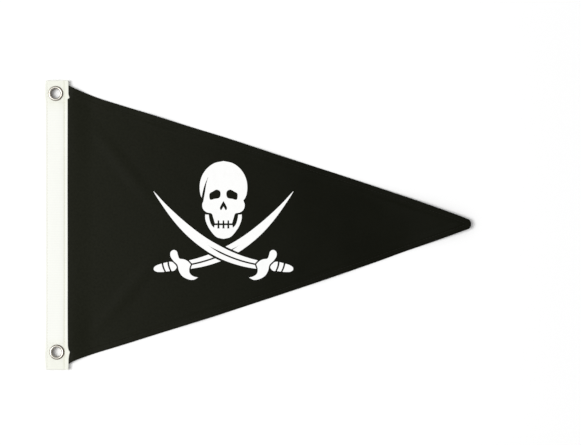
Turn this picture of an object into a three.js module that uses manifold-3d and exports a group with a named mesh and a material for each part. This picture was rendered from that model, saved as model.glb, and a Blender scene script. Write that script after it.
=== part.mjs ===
// A pirate flag for a boat, lying flat: a hemmed black pennant whose hoist edge is sewn into
// a folded white canvas heading, with a metal grommet through each end of the heading.
// Millimetres, +Z up. X runs from the hoist to the tip, Y up the hoist, and Z = 0 is the surface
// that the flag lies on. Inside the flag's own group x is measured from the heading's fold, and
// the group is moved so that the origin is under the middle of the whole flag.

import * as THREE from "three";
import { mergeVertices } from "three/addons/utils/BufferGeometryUtils.js";
import Module from "manifold-3d";

const wasm = await Module();
wasm.setup();

// Overall sizes: a pennant of the 12 by 18 inch size.
const HOIST_HEIGHT = 305;
const OVERALL_LENGTH = 449;
const GAP = 0.3; // between two pieces that touch

// The fly, which is the black cloth.
const CLOTH = 1.0; // thickness of the single cloth
const HEM_THICKNESS = 1.7;
const HEM_WIDTH = 7;
const HEM_STEP = 0.5; // the length over which the hem's inner edge steps down
const RAW_EDGE_X = 19; // the raw edge, sewn into the heading clear of the grommets
const FREE_X = 27; // where the cloth is clear of the heading
const FALL_LENGTH = 24; // from there the cloth comes down to the surface
const TIP_BULGE = 1.9; // the blunt end is a little round
const TIP_X = OVERALL_LENGTH - TIP_BULGE;
const CELL_X = 11;
const FALL_CELL_X = 4;
const TIP_CELL_X = 6;
const CELLS_ACROSS = 16;

// Each long edge of the fly runs straight from a hoist corner to the tip, and bows out of that
// line, or into it where the number is negative.
const CORNER_X = 25.8;
const TOP_EDGE = {
  side: 1,
  hoistY: 145.8,
  tipY: 6.4,
  bow: [
    { x: CORNER_X, out: 1.3 },
    { x: 28, out: 0.5 },
    { x: 32, out: 0 },
    { x: 42, out: -1.0 },
    { x: 58, out: -1.8 },
    { x: 80, out: -1.4 },
    { x: 115, out: -0.5 },
    { x: 150, out: 0 },
    { x: 190, out: 1.0 },
    { x: 250, out: 1.1 },
    { x: 311, out: 1.6 },
    { x: 390, out: 1.4 },
    { x: 413, out: 0.9 },
    { x: 437, out: 0.1 },
    { x: TIP_X, out: -0.6 },
  ],
};
const BOTTOM_EDGE = {
  side: -1,
  hoistY: 145.2,
  tipY: 3.7,
  bow: [
    { x: CORNER_X, out: 1.0 },
    { x: 28, out: 0 },
    { x: 32, out: -0.5 },
    { x: 42, out: -0.8 },
    { x: 55, out: -0.7 },
    { x: 80, out: 0.1 },
    { x: 115, out: 0.8 },
    { x: 150, out: 1.7 },
    { x: 190, out: 2.5 },
    { x: 270, out: 3.0 },
    { x: 349, out: 2.4 },
    { x: 375, out: 1.6 },
    { x: 413, out: 1.1 },
    { x: TIP_X, out: 0.1 },
  ],
};

// Where the cloth stands off the surface: the middle of each soft ridge, its reach along and
// across, the way it runs in degrees from +X, and how high it lifts.
const LIFTS = [
  { x: 453, y: 5, along: 112, across: 62, turn: -17, lift: 5.2 }, // the tip curls up
  { x: 370, y: 36, along: 70, across: 20, turn: -18, lift: 1.6 }, // top hem before the tip
  { x: 235, y: 80, along: 58, across: 17, turn: -18, lift: 1.1 },
  { x: 117, y: 117, along: 44, across: 18, turn: -17, lift: 1.3 },
  { x: 167, y: -102, along: 52, across: 17, turn: 18, lift: 1.2 },
  { x: 298, y: -57, along: 60, across: 16, turn: 18, lift: 0.9 },
  { x: 82, y: 62, along: 80, across: 12, turn: -52, lift: 0.9 }, // pull from the top corner
  { x: 84, y: -74, along: 74, across: 12, turn: 50, lift: 0.8 }, // pull from the bottom corner
];

// The heading, which is canvas folded over the hoist edge of the fly. Its two ends are turned
// in, and are a little thicker and wider there, with a corner that stands out beyond the cloth.
const CANVAS = 1.0;
const END_RAISE = 0.4;
const HALF_SLOT = CLOTH / 2 + GAP;
const FOLD_DEPTH = HALF_SLOT + CANVAS;
const FOLD_STEPS = 8;
const HEADING_CELL = 12;
const HEADING_ROWS = [
  { y: HOIST_HEIGHT / 2, left: 0.4, right: 24.4, raise: END_RAISE },
  { y: 148, left: 0.2, right: 24.6, raise: END_RAISE },
  { y: 138, left: 0, right: 24.7, raise: END_RAISE },
  { y: 134.5, left: 0, right: 25.9, raise: END_RAISE },
  { y: 133.9, left: 0.3, right: 23.8, raise: 0 },
  { y: 118, left: 0.4, right: 23.8, raise: 0 },
  { y: 48, left: 0.4, right: 23.5, raise: 0 },
  { y: 0, left: 0.5, right: 23.6, raise: 0 },
  { y: -80, left: 0.5, right: 23.7, raise: 0 },
  { y: -118, left: 0.4, right: 23.9, raise: 0 },
  { y: -133, left: 0.3, right: 24.0, raise: 0 },
  { y: -133.6, left: 0, right: 26.1, raise: END_RAISE },
  { y: -137.5, left: 0, right: 25.4, raise: END_RAISE },
  { y: -141.5, left: 0.1, right: 24.8, raise: END_RAISE },
  { y: -HOIST_HEIGHT / 2, left: 0.4, right: 24.6, raise: END_RAISE },
];

// The grommets. Their heights are measured from the middle of the cloth.
const GROMMETS = [
  { name: "top", x: 11.1, y: 138.7 },
  { name: "bottom", x: 12.4, y: -133.9 },
];
const GROMMET_SIDES = 30;
const BORE_RADIUS = 5.0;
const BARREL_RADIUS = 5.5;
const FLANGE_RADIUS = 7.9;
const WASHER_RADIUS = 8.25;
const CROWN_INNER_RADIUS = 5.9; // the top of the flange is flat between these two
const CROWN_OUTER_RADIUS = 7.2;
const LIP_RADIUS = 6.9;
const BEAD_RADIUS = 7.3; // a bead on the washer, outside the lip
const CUT_RADIUS = BARREL_RADIUS + GAP;
const FRONT_SEAT = HALF_SLOT + CANVAS + END_RAISE + GAP;
const CROWN_HEIGHT = FRONT_SEAT + 1.2;
const BACK_SEAT = -(HALF_SLOT + CANVAS + GAP);
const WASHER_BACK = BACK_SEAT - 0.55;
const BEAD_BACK = WASHER_BACK - 0.35;
const LIP_FRONT = WASHER_BACK - GAP;
const LIP_BACK = LIP_FRONT - 0.45;
const DRILL_LENGTH = 40;

// The rolled lips of the grommets stand on the surface and hold the ends of the heading up. Its
// middle sinks until the canvas lies on the surface.
const MIDDLE_HEIGHT = HALF_SLOT + CANVAS;
const END_LIFT = -LIP_BACK - MIDDLE_HEIGHT;
const SINK_FROM = 55;
const SINK_TO = 118;

const BLACK = new THREE.MeshStandardMaterial({ color: 0x1f1f19, roughness: 0.82, metalness: 0 });
const WHITE = new THREE.MeshStandardMaterial({ color: 0xf8f9f3, roughness: 0.9, metalness: 0 });
const METAL = new THREE.MeshStandardMaterial({ color: 0xb5b1a6, roughness: 0.3, metalness: 1 });

// 0 before 0, 1 after 1, and a smooth step between.
function smooth(t) {
  const k = THREE.MathUtils.clamp(t, 0, 1);
  return k * k * (3 - 2 * k);
}

// Values from one number to another in equal steps that are no longer than step.
function spaced(from, to, step) {
  const count = Math.max(1, Math.ceil(Math.abs(to - from) / step));
  return Array.from({ length: count + 1 }, (_, i) => from + ((to - from) * i) / count);
}

// A smooth curve through the rows of a bow table, read at x.
function bowAt(rows, x) {
  const last = rows.length - 1;
  const past = rows.findIndex((row) => row.x > x);
  const i = past < 0 ? last : Math.max(1, past);
  const [a, b] = [rows[i - 1], rows[i]];
  const before = rows[Math.max(0, i - 2)];
  const after = rows[Math.min(last, i + 1)];
  const span = b.x - a.x;
  const slopeA = ((b.out - before.out) / (b.x - before.x)) * span;
  const slopeB = ((after.out - a.out) / (after.x - a.x)) * span;
  const t = THREE.MathUtils.clamp((x - a.x) / span, 0, 1);
  const t2 = t * t;
  const t3 = t2 * t;
  return (
    a.out * (2 * t3 - 3 * t2 + 1) +
    slopeA * (t3 - 2 * t2 + t) +
    b.out * (3 * t2 - 2 * t3) +
    slopeB * (t3 - t2)
  );
}

// The y of a long edge of the fly. Inside the heading the cloth is a plain tab.
function edgeY(edge, x) {
  const reach = Math.max(x, CORNER_X);
  const share = (reach - CORNER_X) / (TIP_X - CORNER_X);
  return edge.side * (THREE.MathUtils.lerp(edge.hoistY, edge.tipY, share) + bowAt(edge.bow, reach));
}

// How far the grommets hold the heading off the surface at y.
function headingLift(y) {
  return END_LIFT * smooth((Math.abs(y) - SINK_FROM) / (SINK_TO - SINK_FROM));
}

// One soft ridge of the table, at a place on the cloth.
function ridge(row, x, y) {
  const turn = THREE.MathUtils.degToRad(row.turn);
  const dx = x - row.x;
  const dy = y - row.y;
  const along = (dx * Math.cos(turn) + dy * Math.sin(turn)) / row.along;
  const across = (dy * Math.cos(turn) - dx * Math.sin(turn)) / row.across;
  const away = Math.min(1, Math.hypot(along, across));
  return row.lift * Math.cos((away * Math.PI) / 2) ** 2;
}

// The underside of the fly: held in the heading, then down to the surface and over the ridges.
function flyUnderside(x, y) {
  const held = CANVAS + GAP + headingLift(y);
  const free = smooth((x - FREE_X) / FALL_LENGTH);
  const lifted = LIFTS.reduce((sum, row) => sum + ridge(row, x, y), 0);
  return held * (1 - free) + lifted * free;
}

// The rows of the fly from its raw edge to the tip. Each has its x, how far its middle bulges
// beyond that, and how thick its hem is. The rows of the tip's own hem are all hem.
function flyRows() {
  const hemEndX = TIP_X - HEM_WIDTH;
  const tipFromX = hemEndX - 4 * TIP_CELL_X;
  const fallEndX = FREE_X + FALL_LENGTH;
  const xs = [
    ...spaced(RAW_EDGE_X, FREE_X, FALL_CELL_X),
    ...spaced(FREE_X, fallEndX, FALL_CELL_X).slice(1),
    ...spaced(fallEndX, tipFromX, CELL_X).slice(1),
    ...spaced(tipFromX, hemEndX - HEM_STEP, TIP_CELL_X).slice(1),
    ...spaced(hemEndX, TIP_X, HEM_WIDTH / 2),
  ];
  return xs.map((x) => ({
    x,
    bulge: TIP_BULGE * smooth((x - hemEndX) / HEM_WIDTH),
    hem: THREE.MathUtils.lerp(CLOTH, HEM_THICKNESS, smooth((x - FREE_X) / FALL_CELL_X)),
    allHem: x >= hemEndX,
  }));
}

// Across one row of the fly: each point's y, and how thick the cloth is there.
function flyAcross(row) {
  const low = edgeY(BOTTOM_EDGE, row.x);
  const high = edgeY(TOP_EDGE, row.x);
  const hem = Math.min(HEM_WIDTH, (high - low) / 2 - HEM_STEP);
  const inner = spaced(low + hem, high - hem, (high - low - 2 * hem) / CELLS_ACROSS);
  const middle = row.allHem ? row.hem : CLOTH;
  return [
    { y: low, thick: row.hem },
    { y: low + hem / 2, thick: row.hem },
    { y: low + hem - HEM_STEP, thick: row.hem },
    ...inner.map((y) => ({ y, thick: middle })),
    { y: high - hem + HEM_STEP, thick: row.hem },
    { y: high - hem / 2, thick: row.hem },
    { y: high, thick: row.hem },
  ];
}

// A closed body skinned over rings of points that all have the same count. The first and the
// last ring are filled with the triangles given for them. Its faces are turned to point out.
function skin(rings, capFaces) {
  const count = rings[0].length;
  const faces = [];
  for (let r = 0; r + 1 < rings.length; r++) {
    for (let i = 0; i < count; i++) {
      const [a, b] = [r * count + i, r * count + ((i + 1) % count)];
      faces.push([a, b, b + count], [a, b + count, a + count]);
    }
  }
  const lastRing = (rings.length - 1) * count;
  for (const [a, b, c] of capFaces) {
    faces.push([a, c, b], [lastRing + a, lastRing + b, lastRing + c]);
  }
  const points = rings.flat();
  const volume = faces.reduce(
    (sum, [a, b, c]) => sum + points[a].dot(points[b].clone().cross(points[c])),
    0,
  );
  const outward = volume < 0 ? faces.map(([a, b, c]) => [a, c, b]) : faces;
  return new THREE.BufferGeometry().setFromPoints(points).setIndex(outward.flat());
}

// A geometry with a flat normal on each face.
function faceted(geometry) {
  const bare = geometry.toNonIndexed();
  bare.computeVertexNormals();
  return bare;
}

// A three.js geometry as a solid that can be joined and cut.
function toSolid(geometry) {
  const bare = geometry.clone();
  bare.deleteAttribute("normal");
  bare.deleteAttribute("uv");
  const merged = mergeVertices(bare, 1e-4);
  return new wasm.Manifold(
    new wasm.Mesh({
      numProp: 3,
      vertProperties: merged.attributes.position.array,
      triVerts: new Uint32Array(merged.index.array),
    }),
  );
}

// A solid as a three.js geometry.
function toGeometry(solid) {
  const mesh = solid.getMesh();
  const geometry = new THREE.BufferGeometry();
  geometry.setAttribute("position", new THREE.BufferAttribute(mesh.vertProperties, 3));
  geometry.setIndex(new THREE.BufferAttribute(mesh.triVerts, 1));
  return faceted(geometry);
}

// The geometry with a round hole for each grommet's barrel cut right through it.
function withGrommetHoles(geometry) {
  const cut = GROMMETS.reduce((solid, place) => {
    const drill = new THREE.CylinderGeometry(CUT_RADIUS, CUT_RADIUS, DRILL_LENGTH, GROMMET_SIDES)
      .rotateX(Math.PI / 2)
      .translate(place.x, place.y, 0);
    return solid.subtract(toSolid(drill));
  }, toSolid(geometry));
  return toGeometry(cut);
}

// The fly: one hemmed sheet, skinned over rings that run along its top face and back under it.
function flyGeometry() {
  const rings = flyRows().map((row) => {
    const across = flyAcross(row);
    const last = across.length - 1;
    const under = across.map(({ y }, i) => {
      const middleOut = 1 - ((2 * i) / last - 1) ** 2;
      const x = row.x + row.bulge * middleOut;
      return new THREE.Vector3(x, y, flyUnderside(x, y));
    });
    const over = under.map(({ x, y, z }, i) => new THREE.Vector3(x, y, z + across[i].thick));
    return [...over, ...under.reverse()];
  });
  const half = rings[0].length / 2;
  const capFaces = [];
  for (let i = 0; i + 1 < half; i++) {
    const below = 2 * half - 1 - i;
    capFaces.push([i, i + 1, below], [i + 1, below - 1, below]);
  }
  return faceted(skin(rings, capFaces));
}

// The heading's section at one row: a U that is open towards the fly, in x and z.
function headingSection(row) {
  const front = HALF_SLOT + CANVAS + row.raise;
  const back = HALF_SLOT + CANVAS;
  const foldX = row.left + FOLD_DEPTH;
  const bend = (depth, up, down) =>
    spaced(0, Math.PI, Math.PI / FOLD_STEPS).map((angle) => {
      const reach = angle < Math.PI / 2 ? up : down;
      return new THREE.Vector2(foldX - depth * Math.sin(angle), reach * Math.cos(angle));
    });
  return [
    new THREE.Vector2(row.right, front),
    ...bend(FOLD_DEPTH, front, back),
    new THREE.Vector2(row.right, -back),
    new THREE.Vector2(row.right, -HALF_SLOT),
    ...bend(HALF_SLOT, HALF_SLOT, HALF_SLOT).reverse(),
    new THREE.Vector2(row.right, HALF_SLOT),
  ];
}

// The rows of the heading's table, with more between them where they are far apart.
function headingRows() {
  return HEADING_ROWS.flatMap((row, i) => {
    const next = HEADING_ROWS[i + 1];
    if (!next) return [row];
    const ys = spaced(row.y, next.y, HEADING_CELL).slice(0, -1);
    return ys.map((y) => {
      const t = (y - row.y) / (next.y - row.y);
      const mix = (key) => THREE.MathUtils.lerp(row[key], next[key], t);
      return { y, left: mix("left"), right: mix("right"), raise: mix("raise") };
    });
  });
}

// The heading: its section swept up the hoist, bowed down to the surface between the grommets.
function headingGeometry() {
  const rows = headingRows();
  const sections = rows.map(headingSection);
  const rings = rows.map((row, i) => {
    const height = MIDDLE_HEIGHT + headingLift(row.y);
    return sections[i].map((p) => new THREE.Vector3(p.x, row.y, height + p.y));
  });
  const capFaces = THREE.ShapeUtils.triangulateShape(sections[0], []);
  return withGrommetHoles(skin(rings, capFaces));
}

// A ring turned about Z from an outline of [radius, height] points.
function turned(outline) {
  const closed = [...outline, outline[0]].map(([r, z]) => new THREE.Vector2(r, z));
  return new THREE.LatheGeometry(closed, GROMMET_SIDES).rotateX(Math.PI / 2);
}

// The eyelet: a domed front flange, the barrel, and the lip that is rolled over the washer.
function eyeletGeometry() {
  return turned([
    [FLANGE_RADIUS - 0.1, FRONT_SEAT],
    [FLANGE_RADIUS, CROWN_HEIGHT - 0.85],
    [FLANGE_RADIUS - 0.35, CROWN_HEIGHT - 0.35],
    [CROWN_OUTER_RADIUS, CROWN_HEIGHT],
    [CROWN_INNER_RADIUS, CROWN_HEIGHT],
    [BORE_RADIUS + 0.3, CROWN_HEIGHT - 0.45],
    [BORE_RADIUS, CROWN_HEIGHT - 1.3],
    [BORE_RADIUS, LIP_BACK + 0.8],
    [BORE_RADIUS + 0.25, LIP_BACK + 0.25],
    [CROWN_INNER_RADIUS, LIP_BACK],
    [LIP_RADIUS - 0.3, LIP_BACK],
    [LIP_RADIUS, LIP_FRONT - 0.2],
    [LIP_RADIUS - 0.15, LIP_FRONT],
    [BARREL_RADIUS + 0.3, LIP_FRONT],
    [BARREL_RADIUS, LIP_FRONT + 0.4],
    [BARREL_RADIUS, FRONT_SEAT],
  ]);
}

// The washer behind the canvas, with a raised bead around the eyelet's rolled lip.
function washerGeometry() {
  return turned([
    [CUT_RADIUS + 0.1, BACK_SEAT],
    [CUT_RADIUS + 0.1, WASHER_BACK],
    [BEAD_RADIUS, WASHER_BACK],
    [BEAD_RADIUS + 0.2, BEAD_BACK],
    [WASHER_RADIUS - 0.4, BEAD_BACK],
    [WASHER_RADIUS - 0.05, WASHER_BACK],
    [WASHER_RADIUS, BACK_SEAT],
  ]);
}

function named(name, geometry, material) {
  const mesh = new THREE.Mesh(geometry, material);
  mesh.name = name;
  return mesh;
}

// Builds the whole flag about the point under its middle.
function buildFlag() {
  const flag = new THREE.Group();
  flag.position.x = -OVERALL_LENGTH / 2;
  flag.add(named("fly", flyGeometry(), BLACK));
  flag.add(named("heading", headingGeometry(), WHITE));
  for (const place of GROMMETS) {
    const grommet = new THREE.Group();
    grommet.position.set(place.x, place.y, MIDDLE_HEIGHT + headingLift(place.y));
    grommet.add(named(`eyelet_${place.name}`, eyeletGeometry(), METAL));
    grommet.add(named(`washer_${place.name}`, washerGeometry(), METAL));
    flag.add(grommet);
  }
  const whole = new THREE.Group();
  whole.add(flag);
  return whole;
}

export default buildFlag();
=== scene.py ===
"""A pirate flag for a boat, lying flat: black cloth, print, canvas heading, thread, grommets.

Lengths are in millimetres in the flag's own frame until place() turns them into metres in
the model's frame. There x runs from the fold of the heading to the tip of the fly, y up the
hoist from the middle of the heading, and z up from the surface that the flag lies on.
"""

import logging
import math
import random
from dataclasses import dataclass, field
from enum import Enum, IntEnum
from functools import cached_property
from typing import Callable, Iterable, Sequence, TypeVar

import bmesh
import bpy
from bmesh.types import BMesh
from bpy.types import Material, Node, NodeSocket, NodeTree, Object
from mathutils import Matrix, Vector, noise
from mathutils.geometry import delaunay_2d_cdt


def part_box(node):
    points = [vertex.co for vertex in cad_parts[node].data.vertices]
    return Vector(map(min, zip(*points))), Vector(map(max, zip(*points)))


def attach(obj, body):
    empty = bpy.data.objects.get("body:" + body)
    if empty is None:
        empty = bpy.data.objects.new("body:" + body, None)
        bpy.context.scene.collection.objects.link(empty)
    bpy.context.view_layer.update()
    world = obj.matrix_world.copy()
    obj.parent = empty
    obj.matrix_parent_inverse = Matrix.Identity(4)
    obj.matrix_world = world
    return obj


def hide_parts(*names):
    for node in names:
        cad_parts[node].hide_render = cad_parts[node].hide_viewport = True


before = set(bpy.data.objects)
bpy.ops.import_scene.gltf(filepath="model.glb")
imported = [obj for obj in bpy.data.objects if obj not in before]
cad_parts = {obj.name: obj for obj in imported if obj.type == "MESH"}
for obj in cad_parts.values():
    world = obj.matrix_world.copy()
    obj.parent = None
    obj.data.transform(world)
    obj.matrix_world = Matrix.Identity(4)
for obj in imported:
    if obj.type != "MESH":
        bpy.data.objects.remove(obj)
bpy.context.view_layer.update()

LOG = logging.getLogger("pirate_flag")

Point = tuple[float, float]
Loop = list[Point]
Table = tuple[Point, ...]
Surface = Callable[[float, float], Vector]
Value = TypeVar("Value", float, Vector)

MM = 0.001
FOLD_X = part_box("heading")[0][0]
FLAT_MAP = "flat"
# The grommets' attribute of worn plate and painted shade.
WEAR_AND_SHADE = "wear_and_shade"

# Overall sizes of the flag.
HOIST_HEIGHT = 305.0
OVERALL_LENGTH = 449.0
TIP_BULGE = 1.9  # how far the middle of the blunt tip stands out

# Heights of the cloth held in the heading. The rolled lips of the grommets stand on the
# surface and hold the heading's ends up, and its middle sinks onto the surface.
MIDDLE_HEIGHT = 1.8
END_LIFT = 1.6
SINK_FROM = 55.0
SINK_TO = 118.0

SAME_POINT = 0.05  # points nearer than this are one point of an outline
SLIVER = 0.02  # a distance that is too small to show

# Kinds of nodes. A wave texture repeats 20 times in 2 pi units of its scaled place.
MIX = "ShaderNodeMix"
NOISE = "ShaderNodeTexNoise"
WAVE = "ShaderNodeTexWave"
RANGE = "ShaderNodeMapRange"
MATH = "ShaderNodeMath"
BUMP = "ShaderNodeBump"
WAVE_UNIT = 2 * math.pi / 20


class Side(Enum):
    """The two faces of a sheet."""

    FACE = 1
    BACK = -1


class Ink(IntEnum):
    """Material places on the fly."""

    CLOTH = 0
    PRINT = 1
    PRINT_BACK = 2


Painted = list[tuple[Loop, Ink]]


def smooth(t: float) -> float:
    """Step smoothly from 0 at t = 0 to 1 at t = 1."""
    k = min(1.0, max(0.0, t))
    return k * k * (3 - 2 * k)


def lerp(a: float, b: float, t: float) -> float:
    """Mix two numbers."""
    return a + (b - a) * t


def hermite(a: Value, b: Value, slope_a: Value, slope_b: Value, t: float) -> Value:
    """Go smoothly from a at t = 0 to b at t = 1, with a given slope at each."""
    near, far = 2 * t**3 - 3 * t**2 + 1, 3 * t**2 - 2 * t**3
    return a * near + slope_a * (t**3 - 2 * t**2 + t) + b * far + slope_b * (t**3 - t**2)


def bump_at(distance: float, width: float) -> float:
    """Give a soft bell of height 1 at distance 0."""
    return math.exp(-((distance / width) ** 2))


def pull_at(along: float, pitch: float, swing: float) -> float:
    """Give how hard a seam pulls along its line: 1 at each stitch and less between two."""
    return 1 - swing + swing * math.cos(2 * math.pi * along / pitch)


def rounded(inset: float, radius: float, least: float) -> float:
    """Give the share of its thickness that a sheet has at a distance inside its edge."""
    gone = max(0.0, radius - max(0.0, inset)) / radius
    return max(least, math.sqrt(max(0.0, 1 - gone * gone)))


def spaced(start: float, end: float, step: float) -> list[float]:
    """Divide a span into equal steps.

    Args:
        start: the first value.
        end: the last value.
        step: the longest step.

    Returns:
        The values, both ends included.
    """
    count = max(1, math.ceil(abs(end - start) / step))
    return [start + (end - start) * i / count for i in range(count + 1)]


def table_at(rows: Sequence[Point], x: float) -> float:
    """Read a table of (place, value) rows with straight lines between them.

    Args:
        rows: the rows, in order of place.
        x: the place to read.

    Returns:
        The value there, held level past both ends.
    """
    for (x0, v0), (x1, v1) in zip(rows, rows[1:]):
        if x <= x1:
            return lerp(v0, v1, min(1.0, max(0.0, (x - x0) / (x1 - x0))))
    return rows[-1][1]


def curve_at(rows: Sequence[Point], x: float) -> float:
    """Read a table of (place, value) rows with a smooth curve through them.

    Args:
        rows: the rows, in order of place.
        x: the place to read.

    Returns:
        The value there, held level past both ends.
    """
    last = len(rows) - 1
    i = max(1, next((k for k, row in enumerate(rows) if row[0] > x), last))
    (xa, va), (xb, vb) = rows[i - 1], rows[i]
    (x0, v0), (x1, v1) = rows[max(0, i - 2)], rows[min(last, i + 1)]
    span = xb - xa
    slope_a = (vb - v0) / (xb - x0) * span
    slope_b = (v1 - va) / (x1 - xa) * span
    return hermite(va, vb, slope_a, slope_b, min(1.0, max(0.0, (x - xa) / span)))


def place(x: float, y: float, z: float) -> Vector:
    """Turn a point of the flag's own frame into metres in the model's frame."""
    return Vector((FOLD_X + x * MM, y * MM, z * MM))


def heading_lift(y: float) -> float:
    """Say how far the grommets hold the heading off the surface at y."""
    return END_LIFT * smooth((abs(y) - SINK_FROM) / (SINK_TO - SINK_FROM))


@dataclass(frozen=True)
class Ripple:
    """Smooth uneven waves in a cloth."""

    height: float
    length: float
    seed: float
    run: Point = (1.0, 1.0)  # below 1 the waves are drawn out along x or y

    def at(self, x: float, y: float, layer: int = 0) -> float:
        """Give the height at a place. Each layer of cloth has its own waves."""
        u, v = x * self.run[0] / self.length, y * self.run[1] / self.length
        return self.height * noise.noise(Vector((u, v, self.seed + layer)))


# Curves and loops for outlines.


def curve_through(points: Sequence[Point], step: float, closed: bool = False) -> Loop:
    """Draw a smooth curve through points.

    Args:
        points: the points, in order.
        step: the longest step along the curve.
        closed: whether the curve returns to its first point.

    Returns:
        Points along the curve. A closed one leaves out its repeated first point.
    """
    count = len(points)
    knots = [Vector(p) for p in points]
    spans = count if closed else count - 1
    lengths = [(knots[(i + 1) % count] - knots[i]).length for i in range(spans)]
    chords = [(knots[(i + 1) % count] - knots[i]) / lengths[i] for i in range(spans)]

    def tangent(i: int) -> Vector:
        """Mix the directions of the two chords that meet at a point."""
        if not closed and i in (0, count - 1):
            return chords[0] if i == 0 else chords[-1]
        before, after = (i - 1) % spans, i % spans
        mixed = chords[before] * lengths[after] + chords[after] * lengths[before]
        return mixed / (lengths[before] + lengths[after])

    drawn: Loop = []
    for i in range(spans):
        a, b = knots[i], knots[(i + 1) % count]
        ta, tb = tangent(i) * lengths[i], tangent((i + 1) % count) * lengths[i]
        steps = max(1, math.ceil(lengths[i] / step))
        drawn += [tuple(hermite(a, b, ta, tb, k / steps)) for k in range(steps)]
    if not closed:
        drawn.append(tuple(knots[-1]))
    return drawn


def mirrored(points: Iterable[Point]) -> Loop:
    """Mirror points across the upright axis and reverse their order."""
    return [(-x, y) for x, y in reversed(list(points))]


def as_loop(points: Iterable[Point]) -> Loop:
    """Drop repeated points and turn a loop counter-clockwise.

    Args:
        points: the loop's points, which may repeat where two curves join.

    Returns:
        The cleaned loop.
    """
    loop: Loop = []
    for point in points:
        if not loop or math.dist(point, loop[-1]) > SAME_POINT:
            loop.append(point)
    if math.dist(loop[0], loop[-1]) < SAME_POINT:
        loop.pop()
    pairs = zip(loop, loop[1:] + loop[:1])
    area = sum(x0 * y1 - x1 * y0 for (x0, y0), (x1, y1) in pairs)
    return loop if area > 0 else loop[::-1]


def grown(loop: Sequence[Point], by: float) -> Loop:
    """Move a counter-clockwise loop outwards.

    Args:
        loop: the loop.
        by: how far each point moves.

    Returns:
        The larger loop.
    """
    moved = []
    for i, point in enumerate(loop):
        before, after = Vector(loop[i - 1]), Vector(loop[(i + 1) % len(loop)])
        run = (after - before).normalized()
        moved.append((point[0] + run.y * by, point[1] - run.x * by))
    return moved


def ribbon(middle: Sequence[Point], halves: Sequence[float]) -> Loop:
    """Outline a ribbon along an upright line, with half of its width at each point."""
    left = [(x - half, y) for (x, y), half in zip(middle, halves)]
    right = [(x + half, y) for (x, y), half in zip(middle, halves)]
    return as_loop(left + right[::-1])


# The emblem: the old sea-rover's skull over two crossed cutlasses, drawn for this flag.


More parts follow.
